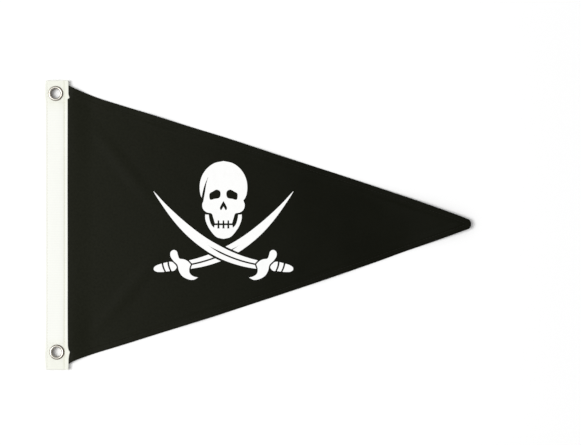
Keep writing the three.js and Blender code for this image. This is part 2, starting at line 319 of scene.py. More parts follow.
@dataclass(frozen=True)
class Cutlass:
    """One cutlass, drawn with its hilt at the lower right and its point at the upper left."""

    guard_end: Point = (36.0, -41.8)
    point: Point = (-73.8, 35.6)
    sag: float = 13.6  # the blade's curve below its chord
    lean: float = 0.35  # the curve is deepest nearer to the hilt than to the point
    widths: Table = (
        (0.0, 9.0), (0.12, 10.5), (0.3, 11.9), (0.42, 11.4), (0.6, 9.6), (0.75, 6.7),
        (0.9, 2.9), (0.96, 1.6), (1.0, 0.3),
    )
    thinnest: float = 0.2
    fuller_share: float = 0.41
    fuller_width: float = 1.6
    fuller_fade: float = 0.12  # the share of the blade over which the groove thins out
    hairline: float = 0.05
    share_step: float = 0.01
    line: float = 1.5  # the dark line round the guard
    gap: float = 2.1  # the dark line beside the blade
    guard: Table = (
        (34.6, -41.4), (38.0, -38.0), (41.7, -36.2), (46.6, -35.2), (48.2, -31.4),
        (49.3, -27.8), (52.3, -26.2), (55.7, -28.2), (56.1, -32.4), (53.2, -37.4),
        (48.6, -42.3), (47.3, -47.8), (44.4, -53.0), (38.0, -57.0), (31.9, -57.9),
        (26.9, -55.4),
    )
    guard_return: Table = (
        (26.9, -55.4), (32.0, -54.0), (35.5, -51.0), (36.1, -46.4), (34.6, -41.6),
    )
    grip: Table = (
        (49.4, -44.5), (51.8, -40.2), (55.0, -38.8), (61.4, -39.7), (66.2, -41.0),
        (70.6, -42.6), (73.4, -44.9), (73.6, -47.2), (71.4, -49.0), (66.0, -49.6),
        (58.1, -48.8), (51.6, -47.8),
    )
    band: Table = ((1.5, -37.8), (1.0, -42.2), (-0.1, -45.8), (-2.3, -50.4))
    band_places: tuple[float, ...] = (57.0, 63.2)
    band_width: float = 1.8
    step: float = 1.0

    def centre(self, share: float) -> tuple[Vector, Vector]:
        """Follow the blade's middle line.

        Args:
            share: 0 at the guard and 1 at the point.

        Returns:
            The place and the direction across the blade, which points up.
        """
        start, end = Vector(self.guard_end), Vector(self.point)
        along = (end - start).normalized()
        up = Vector((-along.y, along.x))
        up = up if up.y > 0 else -up
        deeper = 1 + self.lean * (0.5 - share)
        away = 4 * self.sag * share * (1 - share) * deeper
        slope = (1 - 2 * share) * deeper - self.lean * share * (1 - share)
        run = (along - up * (4 * self.sag * slope / (end - start).length)).normalized()
        across = Vector((-run.y, run.x))
        return start.lerp(end, share) - up * away, across if across.y > 0 else -across

    def strip(self, shares: Sequence[float], widths: Sequence[float]) -> Loop:
        """Outline a strip along the blade's middle line.

        Args:
            shares: the places along the blade.
            widths: the strip's full width at each place.

        Returns:
            The strip's loop.
        """
        upper, lower = [], []
        for share, width in zip(shares, widths):
            middle, across = self.centre(share)
            upper.append(tuple(middle + across * width / 2))
            lower.append(tuple(middle - across * width / 2))
        return as_loop(upper + lower[::-1])

    def blade(self, margin: float = 0.0) -> Loop:
        """Outline the blade, or a wider band around it where margin is more than 0."""
        shares = spaced(0.0, 1.0, self.share_step)
        widths = [max(self.thinnest, curve_at(self.widths, share)) for share in shares]
        return self.strip(shares, [width + 2 * margin for width in widths])

    def fuller(self) -> Loop:
        """Outline the dark groove line, which thins out towards the point."""
        shares = spaced(0.0, self.fuller_share, self.share_step)
        fade = [smooth((self.fuller_share - share) / self.fuller_fade) for share in shares]
        return self.strip(shares, [self.fuller_width * f + self.hairline for f in fade])

    def bands(self) -> list[Loop]:
        """Outline the dark binding lines round the grip."""
        loops = []
        for place_x in self.band_places:
            middle = curve_through([(place_x + x, y) for x, y in self.band], self.step)
            loops.append(ribbon(middle, [self.band_width / 2] * len(middle)))
        return loops

    def layers(self) -> Painted:
        """List the loops to paint, the lowest first."""
        hook = curve_through(self.guard_return, self.step)
        guard = as_loop(curve_through(self.guard, self.step) + hook)
        grip = as_loop(curve_through(self.grip, self.step, closed=True))
        return [
            (self.blade(self.gap), Ink.CLOTH),
            (grip, Ink.PRINT),
            *[(band, Ink.CLOTH) for band in self.bands()],
            (self.blade(), Ink.PRINT),
            (self.fuller(), Ink.CLOTH),
            (grown(guard, self.line), Ink.CLOTH),
            (guard, Ink.PRINT),
        ]


@dataclass(frozen=True)
class Skull:
    """The skull, drawn about an upright axis. Most tables give its right half."""

    cranium: Table = (
        (0.0, 67.6), (10.0, 65.2), (19.0, 57.9), (24.2, 47.6), (25.1, 37.6), (23.3, 29.4),
        (21.0, 25.9),
    )
    cheek: Table = (
        (21.0, 25.9), (22.4, 22.0), (21.2, 16.4), (17.6, 13.4), (12.4, 12.0), (10.9, 8.0),
        (9.1, 1.8),
    )
    teeth_y: float = 1.8
    jaw_outer: Table = (
        (0.0, -14.6), (7.0, -12.8), (13.1, -6.5), (17.4, 0.8), (19.2, 6.6), (19.3, 11.2),
    )
    jaw_inner: Table = ((15.6, 11.0), (14.6, 5.2), (12.5, -0.2), (9.9, -2.9))
    lower_teeth_x: float = 9.5
    lower_teeth_y: float = -0.1
    eye: Table = (
        (3.1, 31.8), (3.9, 36.0), (7.2, 37.4), (11.0, 35.6), (14.6, 33.2), (14.9, 30.0),
        (14.0, 26.9), (9.4, 27.7), (4.2, 29.0),
    )
    nose: Table = ((0.0, 25.4), (1.9, 22.2), (3.6, 17.0), (2.7, 15.7), (1.0, 18.0), (0.0, 19.6))
    tooth_gaps: tuple[float, ...] = (-5.3, 0.0, 5.1)
    tooth_gap_top: float = 4.9
    tooth_gap_bottom: float = -3.6
    tooth_gap_width: float = 2.1
    tooth_gap_taper: float = 0.75
    temple: Table = ((-16.2, 51.0), (-19.1, 42.4), (-21.0, 33.4), (-22.5, 25.6))
    temple_width: float = 2.5
    temple_start: float = 0.15
    temple_growth: float = 1.1
    step: float = 1.0

    def upper(self) -> Loop:
        """Outline the cranium, the cheeks and the upper jaw as one form."""
        right = curve_through(self.cranium, self.step) + curve_through(self.cheek, self.step)
        right.append((0.0, self.teeth_y))
        return as_loop(right + mirrored(right))

    def jaw(self) -> Loop:
        """Outline the lower jaw."""
        right = curve_through(self.jaw_outer, self.step) + curve_through(self.jaw_inner, self.step)
        right += [(self.lower_teeth_x, self.lower_teeth_y), (0.0, self.lower_teeth_y)]
        return as_loop(right + mirrored(right))

    def temple_line(self) -> Loop:
        """Outline the dark line of one temple, which starts thin."""
        middle = curve_through(self.temple, self.step)
        last = len(middle) - 1
        grown_to = [smooth(self.temple_start + self.temple_growth * i / last) for i in range(last + 1)]
        return ribbon(middle, [self.temple_width / 2 * share for share in grown_to])

    def gap(self, x: float) -> Loop:
        """Outline one dark gap between two teeth, a little narrower at its top."""
        half = self.tooth_gap_width / 2
        low, high = self.tooth_gap_bottom, self.tooth_gap_top
        narrow = half * self.tooth_gap_taper
        return as_loop([(x - half, low), (x + half, low), (x + narrow, high), (x - narrow, high)])

    def layers(self) -> Painted:
        """List the loops to paint, the lowest first."""
        eye = curve_through(self.eye, self.step, closed=True)
        nose = curve_through(self.nose, self.step)
        return [
            (self.upper(), Ink.PRINT),
            (self.temple_line(), Ink.CLOTH),
            (self.jaw(), Ink.PRINT),
            (as_loop(eye), Ink.CLOTH),
            (as_loop(mirrored(eye)), Ink.CLOTH),
            (as_loop(nose + mirrored(nose)), Ink.CLOTH),
            *[(self.gap(x), Ink.CLOTH) for x in self.tooth_gaps],
        ]


@dataclass(frozen=True)
class Emblem:
    """The printed emblem and its place on the fly."""

    axis_x: float = 187.9
    axis_y: float = 0.0
    cutlass: Cutlass = field(default_factory=Cutlass)
    skull: Skull = field(default_factory=Skull)

    def layers(self) -> Painted:
        """List all loops to paint in the flag's own frame, the lowest first."""
        sword = self.cutlass.layers()
        behind = [(as_loop(mirrored(loop)), ink) for loop, ink in sword]
        moved = []
        for loop, ink in behind + sword + self.skull.layers():
            moved.append(([(x + self.axis_x, y + self.axis_y) for x, y in loop], ink))
        return moved


# Flat cuts and the closed sheets made from them.


@dataclass
class FlatCut:
    """A flat pattern piece: its outline, its inner points, its holes and its painted loops."""

    outline: Loop
    inner: list[Point]
    holes: list[Loop] = field(default_factory=list)
    painted: Painted = field(default_factory=list)
    merge: float = 1e-5

    def triangles(self) -> tuple[list[Point], list[tuple[tuple[int, ...], Ink]]]:
        """Join the points into triangles.

        Returns:
            The points, and each triangle with its ink. Triangles in a hole are left out.
        """
        coords: list[Vector] = []
        loops: list[list[int]] = []
        for loop in [self.outline, *[painted for painted, _ in self.painted], *self.holes]:
            start = len(coords)
            coords += [Vector(p) for p in loop]
            loops.append(list(range(start, len(coords))))
        coords += [Vector(p) for p in self.inner]
        found = delaunay_2d_cdt(coords, [], loops, 1, self.merge, True)
        points, _, faces, _, _, sources = found
        first_hole = 1 + len(self.painted)
        made = []
        for face, source in zip(faces, sources):
            highest = max(source, default=first_hole)
            if highest < first_hole:
                made.append((tuple(face), self.painted[highest - 1][1] if highest else Ink.CLOTH))
        return [(p.x, p.y) for p in points], made


def closed_sheet(cut: FlatCut, position: Callable[[Side, float, float], Vector]) -> BMesh:
    """Make a thin closed sheet from a flat cut.

    Args:
        cut: the flat pattern piece.
        position: gives the place of a flat point on the sheet's face or back.

    Returns:
        The mesh, with its flat places kept as a UV map in metres.
    """
    points, faces = cut.triangles()
    bm = bmesh.new()
    flat = bm.loops.layers.uv.new(FLAT_MAP)
    verts = [bm.verts.new((x, y, 0.0)) for x, y in points]
    for corners, ink in faces:
        face = bm.faces.new([verts[i] for i in corners])
        face.material_index = ink
        for loop in face.loops:
            loop[flat].uv = loop.vert.co.xy * MM
    bmesh.ops.delete(bm, geom=[v for v in bm.verts if not v.link_faces], context="VERTS")
    lower = set(bm.verts)
    lower_faces = bm.faces[:]
    bmesh.ops.extrude_face_region(bm, geom=lower_faces, use_keep_orig=True)
    for face in lower_faces:
        if face.material_index == Ink.PRINT:
            face.material_index = Ink.PRINT_BACK
    for vert in bm.verts:
        side = Side.BACK if vert in lower else Side.FACE
        vert.co = position(side, vert.co.x, vert.co.y)
    bmesh.ops.recalc_face_normals(bm, faces=bm.faces)
    return bm


def add_object(name: str, bm: BMesh, materials: Sequence[Material], soft: bool = True) -> Object:
    """Make an object from a mesh and report it.

    Args:
        name: the piece's name.
        bm: its mesh, in metres in the model's frame, which is freed.
        materials: its materials.
        soft: whether its faces are shaded smooth.

    Returns:
        The object, at the origin.
    """
    for face in bm.faces:
        face.smooth = soft
    mesh = bpy.data.meshes.new(name)
    bm.to_mesh(mesh)
    bm.free()
    for material in materials:
        mesh.materials.append(material)
    obj = bpy.data.objects.new(name, mesh)
    bpy.context.scene.collection.objects.link(obj)
    LOG.info("%s: %d faces", name, len(mesh.polygons))
    return obj


# Nodes and colours.


def linear(code: str) -> tuple[float, float, float, float]:
    """Turn an sRGB hex colour into linear values.

    Args:
        code: the colour, as in #f8f9f3.

    Returns:
        Red, green, blue and an alpha of 1.
    """
    parts = [int(code[i : i + 2], 16) / 255 for i in (1, 3, 5)]
    turned = [c / 12.92 if c <= 0.04045 else ((c + 0.055) / 1.055) ** 2.4 for c in parts]
    return (*turned, 1.0)


def per_metre(size: float) -> float:
    """Turn the size of a pattern's repeat in millimetres into a texture's scale."""
    return 1 / (size * MM)


def add_node(tree: NodeTree, kind: str, settings: dict, links: dict) -> Node:
    """Add a node with its settings and links.

    Args:
        tree: the node tree.
        kind: the node's Blender type.
        settings: values by input name or number, or by the node's own setting.
        links: output sockets by input name or number.

    Returns:
        The node.
    """
    node = tree.nodes.new(kind)
    for key, value in settings.items():
        if isinstance(key, int) or key in node.inputs:
            node.inputs[key].default_value = value
        else:
            setattr(node, key, value)
    for key, source in links.items():
        tree.links.new(source, node.inputs[key])
    return node


def new_material(name: str) -> tuple[Material, NodeTree]:
    """Make an empty node material."""
    material = bpy.data.materials.new(name)
    material.use_nodes = True
    material.node_tree.nodes.clear()
    return material, material.node_tree


def close_material(tree: NodeTree, settings: dict, links: dict) -> None:
    """Finish a material with its shader and output."""
    shader = add_node(tree, "ShaderNodeBsdfPrincipled", settings, links)
    add_node(tree, "ShaderNodeOutputMaterial", {}, {"Surface": shader.outputs["BSDF"]})


def plain_weave(tree: NodeTree, where: NodeSocket, pitch: float) -> NodeSocket:
    """Make the height of a plain weave.

    Args:
        tree: the material's node tree.
        where: the place along the threads, in metres.
        pitch: the distance between two threads in millimetres.

    Returns:
        A height from 0 to 1, in which threads pass over and under each other.
    """
    links = {"Vector": where}
    wave = {"Scale": WAVE_UNIT * per_metre(pitch) / 2, "Phase Offset": -math.pi / 2}
    across = add_node(tree, WAVE, {**wave, "bands_direction": "X"}, links)
    along = add_node(tree, WAVE, {**wave, "bands_direction": "Y"}, links)
    checker = add_node(tree, "ShaderNodeTexChecker", {"Scale": per_metre(pitch)}, links)
    over = {0: checker.outputs["Fac"], 2: across.outputs["Fac"], 3: along.outputs["Fac"]}
    return add_node(tree, MIX, {"data_type": "FLOAT"}, over).outputs[0]


@dataclass(frozen=True)
class DyedPolyester:
    """Woven polyester dyed near-black with a warm olive cast: dull, with hardly any gloss.

    Its colour is painted lighter towards the hoist: painted light, brightest on the hoist's side.
    """

    name: str = "dyed_woven_polyester"
    # Painted light: the hoist colour is the cloth drawn lighter where more light falls.
    painted_lit_hoist: str = "#1c1d15"
    thread: str = "#0d0e07"
    faded: str = "#202119"
    shade: str = "#080904"
    pitch: float = 0.8  # real thread spacing is 0.35 mm; drawn coarser so that it shows
    cloud: float = 71.43  # the size of soft clouds in the dye
    slub: float = 2.381  # the size of thick places in the yarn
    painted_light_to: float = 50 * MM
    painted_light_gone_at: float = 290 * MM

    def material(self) -> Material:
        """Build the material."""
        material, tree = new_material(self.name)
        where = add_node(tree, "ShaderNodeUVMap", {"uv_map": FLAT_MAP}, {}).outputs["UV"]
        parts = add_node(tree, "ShaderNodeSeparateXYZ", {}, {"Vector": where})
        # Painted light: from the lighter hoist colour to the darker tip colour along the fly.
        span = {"From Min": self.painted_light_to, "From Max": self.painted_light_gone_at}
        painted_light_fade = add_node(tree, RANGE, span, {"Value": parts.outputs["X"]})
        light_and_shade_tones = {"data_type": "RGBA", 6: linear(self.painted_lit_hoist), 7: linear(self.thread)}
        colour = add_node(tree, MIX, light_and_shade_tones, {0: painted_light_fade.outputs["Result"]})
        clouds = {"Scale": per_metre(self.cloud), "Detail": 3.0, "Roughness": 0.55}
        slubs = {"Scale": per_metre(self.slub), "Detail": 2.0, "Roughness": 0.6}
        for pattern, low, high, most, tint in (
            (clouds, 0.35, 0.65, 0.15, self.faded),
            (slubs, 0.4, 0.75, 0.35, self.shade),
        ):
            texture = add_node(tree, NOISE, pattern, {"Vector": where})
            span = {"From Min": low, "From Max": high, "To Max": most}
            share = add_node(tree, RANGE, span, {"Value": texture.outputs["Fac"]})
            over = {0: share.outputs["Result"], 6: colour.outputs[2]}
            colour = add_node(tree, MIX, {"data_type": "RGBA", 7: linear(tint)}, over)
        weave = plain_weave(tree, where, self.pitch)
        relief = add_node(tree, BUMP, {"Strength": 0.35, "Distance": 0.08 * MM}, {"Height": weave})
        links = {"Base Color": colour.outputs[2], "Normal": relief.outputs["Normal"]}
        close_material(tree, {"Roughness": 0.5, "Specular IOR Level": 0.035}, links)
        return material


@dataclass(frozen=True)
class ScreenInk:
    """White screen ink, a thin flat film in which the threads still show a little."""

    name: str
    film: str
    worn: str
    roughness: float
    pitch: float = 0.8
    patch: float = 6.25  # the size of places where the film is thin

    def material(self) -> Material:
        """Build the material."""
        material, tree = new_material(self.name)
        where = add_node(tree, "ShaderNodeUVMap", {"uv_map": FLAT_MAP}, {}).outputs["UV"]
        pattern = {"Scale": per_metre(self.patch), "Detail": 3.0, "Roughness": 0.6}
        patchy = add_node(tree, NOISE, pattern, {"Vector": where})
        span = {"From Min": 0.5, "From Max": 0.8, "To Max": 0.6}
        thin = add_node(tree, RANGE, span, {"Value": patchy.outputs["Fac"]})
        inks = {"data_type": "RGBA", 6: linear(self.film), 7: linear(self.worn)}
        colour = add_node(tree, MIX, inks, {0: thin.outputs["Result"]})
        weave = plain_weave(tree, where, self.pitch)
        relief = add_node(tree, BUMP, {"Strength": 0.2, "Distance": 0.06 * MM}, {"Height": weave})
        links = {"Base Color": colour.outputs[2], "Normal": relief.outputs["Normal"]}
        close_material(tree, {"Roughness": self.roughness, "Specular IOR Level": 0.3}, links)
        return material


@dataclass(frozen=True)
class CottonCanvas:
    """Bleached cotton canvas: matt, with thick soft threads.

    It is warmer at its thicker turned ends. Painted shade makes it a little greyer in the groove
    of its seam, along its fold and in the hollows of its weave.
    """

    name: str = "bleached_cotton_canvas"
    thread: str = "#eff0ea"
    # Painted shade: the darker colour in the hollows between the threads.
    painted_weave_shade: str = "#e2e3db"
    end_thread: str = "#ebece2"
    # Painted shade: the greyer colour in the groove of the seam.
    painted_seam_shade: str = "#dedfce"
    # Painted shade: the greyer colour along the fold.
    painted_fold_shade: str = "#d9dad1"
    pitch: float = 0.9  # real thread spacing is 0.6 mm; drawn coarser so that it shows
    fluff: float = 3.333  # the size of tufts in the soft yarn
    end_from: float = 118 * MM
    end_to: float = 130 * MM
    seam_at: float = FOLD_X + 20.2 * MM
    seam_shade_half: float = 1.5 * MM
    fold_shade_from: float = FOLD_X + 2.6 * MM
    fold_shade_to: float = FOLD_X + 0.8 * MM

    def tinted(self, tree: NodeTree, weave: NodeSocket) -> NodeSocket:
        """Tint the canvas by its place, with painted shade at its seam, fold and weave.

        Args:
            tree: the material's node tree.
            weave: the height of the weave.

        Returns:
            The colour.
        """
        where = add_node(tree, "ShaderNodeTexCoord", {}, {}).outputs["Object"]
        parts = add_node(tree, "ShaderNodeSeparateXYZ", {}, {"Vector": where})
        reach = add_node(tree, MATH, {"operation": "ABSOLUTE"}, {0: parts.outputs["Y"]})
        step = {"operation": "SUBTRACT", 1: self.seam_at}
        beside = add_node(tree, MATH, step, {0: parts.outputs["X"]})
        away = add_node(tree, MATH, {"operation": "ABSOLUTE"}, {0: beside.outputs["Value"]})
        span = {"From Min": self.end_from, "From Max": self.end_to}
        ends = add_node(tree, RANGE, span, {"Value": reach.outputs["Value"]})
        threads = {"data_type": "RGBA", 6: linear(self.thread), 7: linear(self.end_thread)}
        colour = add_node(tree, MIX, threads, {0: ends.outputs["Result"]})
        # Painted shade: greyer in the seam's groove, along the fold and in the weave's hollows.
        for value, low, high, most, tint in (
            (away.outputs["Value"], self.seam_shade_half, self.seam_shade_half / 3, 0.6, self.painted_seam_shade),
            (parts.outputs["X"], self.fold_shade_from, self.fold_shade_to, 1.0, self.painted_fold_shade),
            (weave, 0.45, 0.05, 0.3, self.painted_weave_shade),
        ):
            span = {"From Min": low, "From Max": high, "To Max": most}
            share = add_node(tree, RANGE, span, {"Value": value})
            over = {0: share.outputs["Result"], 6: colour.outputs[2]}
            colour = add_node(tree, MIX, {"data_type": "RGBA", 7: linear(tint)}, over)
        return colour.outputs[2]

    def material(self) -> Material:
        """Build the material."""
        material, tree = new_material(self.name)
        where = add_node(tree, "ShaderNodeUVMap", {"uv_map": FLAT_MAP}, {}).outputs["UV"]
        weave = plain_weave(tree, where, self.pitch)
        pattern = {"Scale": per_metre(self.fluff), "Detail": 4.0, "Roughness": 0.65}
        fluff = add_node(tree, NOISE, pattern, {"Vector": where})
        both = {2: weave, 3: fluff.outputs["Fac"]}
        height = add_node(tree, MIX, {"data_type": "FLOAT", 0: 0.3}, both).outputs[0]
        bump = {"Strength": 0.35, "Distance": 0.15 * MM}
        relief = add_node(tree, BUMP, bump, {"Height": height})
        links = {"Base Color": self.tinted(tree, weave), "Normal": relief.outputs["Normal"]}
        gloss = {"Roughness": 0.9, "Specular IOR Level": 0.2}
        close_material(tree, {**gloss, "Sheen Weight": 0.05, "Sheen Roughness": 0.6}, links)
        return material


@dataclass(frozen=True)
class SewingThread:
    """Spun polyester sewing thread: matt, its twisted plies with painted shade between them."""

    name: str
    # Painted shade: the darker tone where the plies dip between each other.
    light: str
    painted_ply_shade: str
    twist: float = 0.5  # the length of one turn of the plies in millimetres

    def material(self) -> Material:
        """Build the material."""
        material, tree = new_material(self.name)
        where = add_node(tree, "ShaderNodeTexCoord", {}, {}).outputs["Object"]
        wave = {"Scale": WAVE_UNIT * per_metre(self.twist), "bands_direction": "DIAGONAL"}
        plies = add_node(tree, WAVE, {**wave, "Distortion": 0.6}, {"Vector": where}).outputs["Fac"]
        # Painted shade: the colour darkens in the hollows between the plies.
        light_and_shade_tones = {"data_type": "RGBA", 6: linear(self.painted_ply_shade), 7: linear(self.light)}
        colour = add_node(tree, MIX, light_and_shade_tones, {0: plies})
        relief = add_node(tree, BUMP, {"Strength": 0.4, "Distance": 0.05 * MM}, {"Height": plies})
        links = {"Base Color": colour.outputs[2], "Normal": relief.outputs["Normal"]}
        close_material(tree, {"Roughness": 0.8, "Specular IOR Level": 0.25}, links)
        return material


@dataclass(frozen=True)
class NickelPlate:
    """Nickel plate over stamped brass: a soft bright metal with faint press marks.

    In the barrel and on the outer rim the brown of brass shows through worn plate. The same brown
    is painted shade, deepest on the sides of the barrel and the rim that are turned from the light.
    """

    name: str = "nickel_plated_brass"
    bright: str = "#d6d3cb"
    dull: str = "#b3aea3"
    # Brass under worn plate, also used as painted shade.
    brass_and_shade: str = "#5c4d42"
    mark: float = 3.846  # the size of the press marks

    def material(self) -> Material:
        """Build the material."""
        material, tree = new_material(self.name)
        where = add_node(tree, "ShaderNodeTexCoord", {}, {}).outputs["Object"]
        pattern = {"Scale": per_metre(self.mark), "Detail": 4.0, "Roughness": 0.6}
        haze = add_node(tree, NOISE, pattern, {"Vector": where}).outputs["Fac"]
        plates = {"data_type": "RGBA", 6: linear(self.bright), 7: linear(self.dull)}
        plate = add_node(tree, MIX, plates, {0: haze})
        wear_and_shade = add_node(tree, "ShaderNodeAttribute", {"attribute_name": WEAR_AND_SHADE}, {})
        # Worn plate and painted shade: brown where the attribute says.
        over = {0: wear_and_shade.outputs["Fac"], 6: plate.outputs[2]}
        colour = add_node(tree, MIX, {"data_type": "RGBA", 7: linear(self.brass_and_shade)}, over)
        span = {"From Min": 0.3, "From Max": 0.7, "To Min": 0.24, "To Max": 0.38}
        gloss = add_node(tree, RANGE, span, {"Value": haze})
        marks = add_node(tree, BUMP, {"Strength": 0.25, "Distance": 0.05 * MM}, {"Height": haze})
        links = {"Base Color": colour.outputs[2], "Normal": marks.outputs["Normal"]}
        links["Roughness"] = gloss.outputs["Result"]
        close_material(tree, {"Metallic": 1.0}, links)
        return material


@dataclass(frozen=True)
class PaperSweep:
    """The pale matt paper that the flag lies on."""

    name: str = "pale_paper_sweep"
    paper: str = "#fafafa"

    def material(self) -> Material:
        """Build the material."""
        material, tree = new_material(self.name)
        matt = {"Base Color": linear(self.paper), "Roughness": 1.0, "Specular IOR Level": 0.0}
        close_material(tree, matt, {})
        return material


# The fly.


@dataclass(frozen=True)
class LongEdge:
    """One long edge of the fly: a straight line from hoist to tip, with its bow out of it."""

    side: int
    hoist_y: float
    tip_y: float
    bow: Table
    corner_x: float = 25.8
    tip_x: float = OVERALL_LENGTH - TIP_BULGE
    sample_step: float = 0.5

    @cached_property
    def samples(self) -> list[float]:
        """Give the edge's y at each half millimetre from its hoist corner."""
        made = []
        for x in spaced(self.corner_x, self.tip_x, self.sample_step):
            share = (x - self.corner_x) / (self.tip_x - self.corner_x)
            made.append(self.side * (lerp(self.hoist_y, self.tip_y, share) + curve_at(self.bow, x)))
        return made

    def y_at(self, x: float) -> float:
        """Give the edge's y at x. Inside the heading the cloth is a plain tab."""
        share = (x - self.corner_x) / (self.tip_x - self.corner_x)
        at = min(1.0, max(0.0, share)) * (len(self.samples) - 1)
        i = min(int(at), len(self.samples) - 2)
        return lerp(self.samples[i], self.samples[i + 1], at - i)

    def inward(self, x: float) -> Vector:
        """Give the direction at right angles to the edge, into the cloth."""
        run = Vector((1.0, self.y_at(x + 0.5) - self.y_at(x - 0.5))).normalized()
        return Vector((run.y, -run.x)) * self.side


@dataclass(frozen=True)
class Ridge:
    """A soft ridge where the cloth stands off the surface."""

    x: float
    y: float
    along: float
    across: float
    turn: float
    lift: float

    def height(self, x: float, y: float) -> float:
        """Give the ridge's height at a place on the cloth."""
        turn = math.radians(self.turn)
        dx, dy = x - self.x, y - self.y
        along = (dx * math.cos(turn) + dy * math.sin(turn)) / self.along
        across = (dy * math.cos(turn) - dx * math.sin(turn)) / self.across
        away = min(1.0, math.hypot(along, across))
        return self.lift * math.cos(away * math.pi / 2) ** 2


TOP_EDGE = LongEdge(
    side=1,
    hoist_y=145.8,
    tip_y=6.4,
    bow=(
        (25.8, 1.3), (28.0, 0.5), (32.0, 0.0), (42.0, -1.0), (58.0, -1.8), (80.0, -1.4),
        (115.0, -0.5), (150.0, 0.0), (190.0, 1.0), (250.0, 1.1), (311.0, 1.6), (390.0, 1.4),
        (413.0, 0.9), (437.0, 0.1), (447.1, -0.6),
    ),
)
BOTTOM_EDGE = LongEdge(
    side=-1,
    hoist_y=145.2,
    tip_y=3.7,
    bow=(
        (25.8, 1.0), (28.0, 0.0), (32.0, -0.5), (42.0, -0.8), (55.0, -0.7), (80.0, 0.1),
        (115.0, 0.8), (150.0, 1.7), (190.0, 2.5), (270.0, 3.0), (349.0, 2.4), (375.0, 1.6),
        (413.0, 1.1), (447.1, 0.1),
    ),
)
RIDGES = (
    Ridge(453, 5, 112, 62, -17, 5.2),  # the tip curls up
    Ridge(370, 36, 70, 20, -18, 1.6),  # the top hem before the tip
    Ridge(235, 80, 58, 17, -18, 1.1),
    Ridge(117, 117, 44, 18, -17, 1.3),
    Ridge(167, -102, 52, 17, 18, 1.2),
    Ridge(298, -57, 60, 16, 18, 0.9),
    Ridge(82, 62, 80, 12, -52, 0.9),  # pulled from the top corner
    Ridge(84, -74, 74, 12, 50, 0.8),  # pulled from the bottom corner
)


